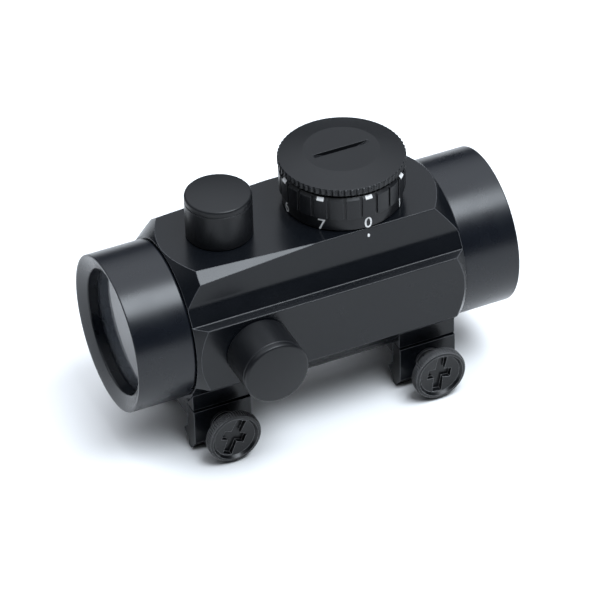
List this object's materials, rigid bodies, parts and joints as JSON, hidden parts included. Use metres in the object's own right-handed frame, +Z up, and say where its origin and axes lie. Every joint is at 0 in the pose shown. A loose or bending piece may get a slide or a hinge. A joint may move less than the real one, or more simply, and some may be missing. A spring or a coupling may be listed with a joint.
{
  "type": "red dot finder",
  "caption": "Matte black tube red dot finder with a flat-sided body, capped windage and elevation turrets, a numbered brightness dial over the battery, and a rail clamp with thumb screws.",
  "frame": {"origin": "rail seat plane of the clamp, on the middle plane, halfway between the two clamp feet and under the middle of the finder", "axes": "+X along the optical axis towards the objective, +Y to the left seen from behind, away from the windage turret and thumb screws, +Z up towards the elevation turret and the brightness dial"},
  "size_m": [0.0974, 0.0514, 0.0639],
  "materials": {
    "housing_black": "matte black anodised",
    "bell_black": "satin black anodised",
    "cap_black": "satin black anodised",
    "screw_black": "black oxide steel",
    "tube_black": "dull black inner tube",
    "coated_glass": "coated glass",
    "seal_rubber": "dull black",
    "steel": "bright steel",
    "brass": "turned brass",
    "board_green": "circuit board",
    "led_red": "clear red resin"
  },
  "bodies": {
    "housing": {"main_housing": "housing_black", "eyepiece_bell": "bell_black", "eyepiece_window": "coated_glass", "eyepiece_retaining_ring": "bell_black", "eyepiece_o_ring": "seal_rubber", "objective_bell": "bell_black", "objective_lens": "coated_glass", "objective_retaining_ring": "bell_black", "objective_o_ring": "seal_rubber", "windage_pivot_pins": "steel", "bias_spring": "steel", "elevation_turret_post": "bell_black", "elevation_o_ring": "seal_rubber", "windage_turret_post": "bell_black", "windage_o_ring": "seal_rubber", "rheostat_base": "housing_black", "rheostat_screws": "steel", "switch_board": "board_green", "dial_pivot_screw": "steel", "detent_ball": "steel", "detent_spring": "steel", "mount_base": "housing_black", "mount_base_screws": "screw_black", "clamp_nuts": "screw_black"},
    "pivot_ring": {"pivot_ring": "housing_black", "elevation_pivot_pins": "steel"},
    "emitter_tube": {"emitter_tube": "tube_black", "emitter_bracket": "tube_black", "led_emitter": "led_red"},
    "elevation_adjuster": {"elevation_adjuster": "brass"},
    "elevation_plunger": {"elevation_plunger": "brass"},
    "elevation_cap": {"elevation_cap": "cap_black"},
    "windage_adjuster": {"windage_adjuster": "brass"},
    "windage_plunger": {"windage_plunger": "brass"},
    "windage_cap": {"windage_cap": "cap_black"},
    "rheostat_dial": {"rheostat_dial": "cap_black", "wiper_contact": "brass", "battery_contact": "brass"},
    "battery_cell": {"battery_cell": "steel"},
    "battery_cap": {"battery_cap": "cap_black", "battery_cap_o_ring": "seal_rubber"},
    "rear_jaw": {"rear_jaw": "housing_black", "rear_clamp_washer": "screw_black"},
    "front_jaw": {"front_jaw": "housing_black", "front_clamp_washer": "screw_black"},
    "rear_thumb_screw": {"rear_thumb_screw": "screw_black"},
    "front_thumb_screw": {"front_thumb_screw": "screw_black"}
  },
  "joints": [
    {"name": "windage_tilt", "type": "hinge", "parent": "housing", "child": "pivot_ring", "pos_m": [0.027, 0, 0.0218], "axis": [0, 0, 1], "range_deg": [-0.62, 0.62]},
    {"name": "elevation_tilt", "type": "hinge", "parent": "pivot_ring", "child": "emitter_tube", "pos_m": [0.027, 0, 0.0218], "axis": [0, 1, 0], "range_deg": [-0.62, 0.62]},
    {"name": "elevation_turn", "type": "hinge", "parent": "housing", "child": "elevation_adjuster", "pos_m": [-0.0195, 0, 0.0415], "axis": [0, 0, -1], "range_deg": [-361, 361]},
    {"name": "elevation_push", "type": "slide", "parent": "housing", "child": "elevation_plunger", "axis": [0, 0, -1], "range_m": [-0.0005, 0.0005]},
    {"name": "elevation_cap_lift", "type": "slide", "parent": "housing", "child": "elevation_cap", "axis": [0, 0, 1], "range_m": [0, 0.016]},
    {"name": "windage_turn", "type": "hinge", "parent": "housing", "child": "windage_adjuster", "pos_m": [-0.0195, -0.0202, 0.0218], "axis": [0, 1, 0], "range_deg": [-361, 361]},
    {"name": "windage_push", "type": "slide", "parent": "housing", "child": "windage_plunger", "axis": [0, 1, 0], "range_m": [-0.0005, 0.0005]},
    {"name": "windage_cap_pull", "type": "slide", "parent": "housing", "child": "windage_cap", "axis": [0, -1, 0], "range_m": [0, 0.016]},
    {"name": "rheostat_turn", "type": "hinge", "parent": "housing", "child": "rheostat_dial", "pos_m": [0.0118, 0, 0.0415], "axis": [0, 0, -1], "range_deg": [0, 315]},
    {"name": "battery_cap_lift", "type": "slide", "parent": "rheostat_dial", "child": "battery_cap", "axis": [0, 0, 1], "range_m": [0, 0.02]},
    {"name": "battery_lift", "type": "slide", "parent": "rheostat_dial", "child": "battery_cell", "axis": [0, 0, 1], "range_m": [0, 0.01]},
    {"name": "rear_jaw_slide", "type": "slide", "parent": "housing", "child": "rear_jaw", "axis": [0, -1, 0], "range_m": [0, 0.0028]},
    {"name": "rear_screw_turn", "type": "hinge", "parent": "rear_jaw", "child": "rear_thumb_screw", "pos_m": [-0.0266, -0.0145, -0.0016], "axis": [0, -1, 0], "range_deg": [0, 1440.5]},
    {"name": "front_jaw_slide", "type": "slide", "parent": "housing", "child": "front_jaw", "axis": [0, -1, 0], "range_m": [0, 0.0028]},
    {"name": "front_screw_turn", "type": "hinge", "parent": "front_jaw", "child": "front_thumb_screw", "pos_m": [0.0266, -0.0145, -0.0016], "axis": [0, -1, 0], "range_deg": [0, 1440.5]}
  ],
  "couplings": [
    {"joint": "elevation_turn", "follows": "elevation_push", "rad_per_m": 12566},
    {"joint": "elevation_tilt", "follows": "elevation_push", "rad_per_m": -21.505},
    {"joint": "windage_turn", "follows": "windage_push", "rad_per_m": 12566},
    {"joint": "windage_tilt", "follows": "windage_push", "rad_per_m": -21.505},
    {"joint": "battery_lift", "follows": "battery_cap_lift", "ratio": 0.5},
    {"joint": "rear_screw_turn", "follows": "rear_jaw_slide", "rad_per_m": 8976},
    {"joint": "front_screw_turn", "follows": "front_jaw_slide", "rad_per_m": 8976}
  ]
}
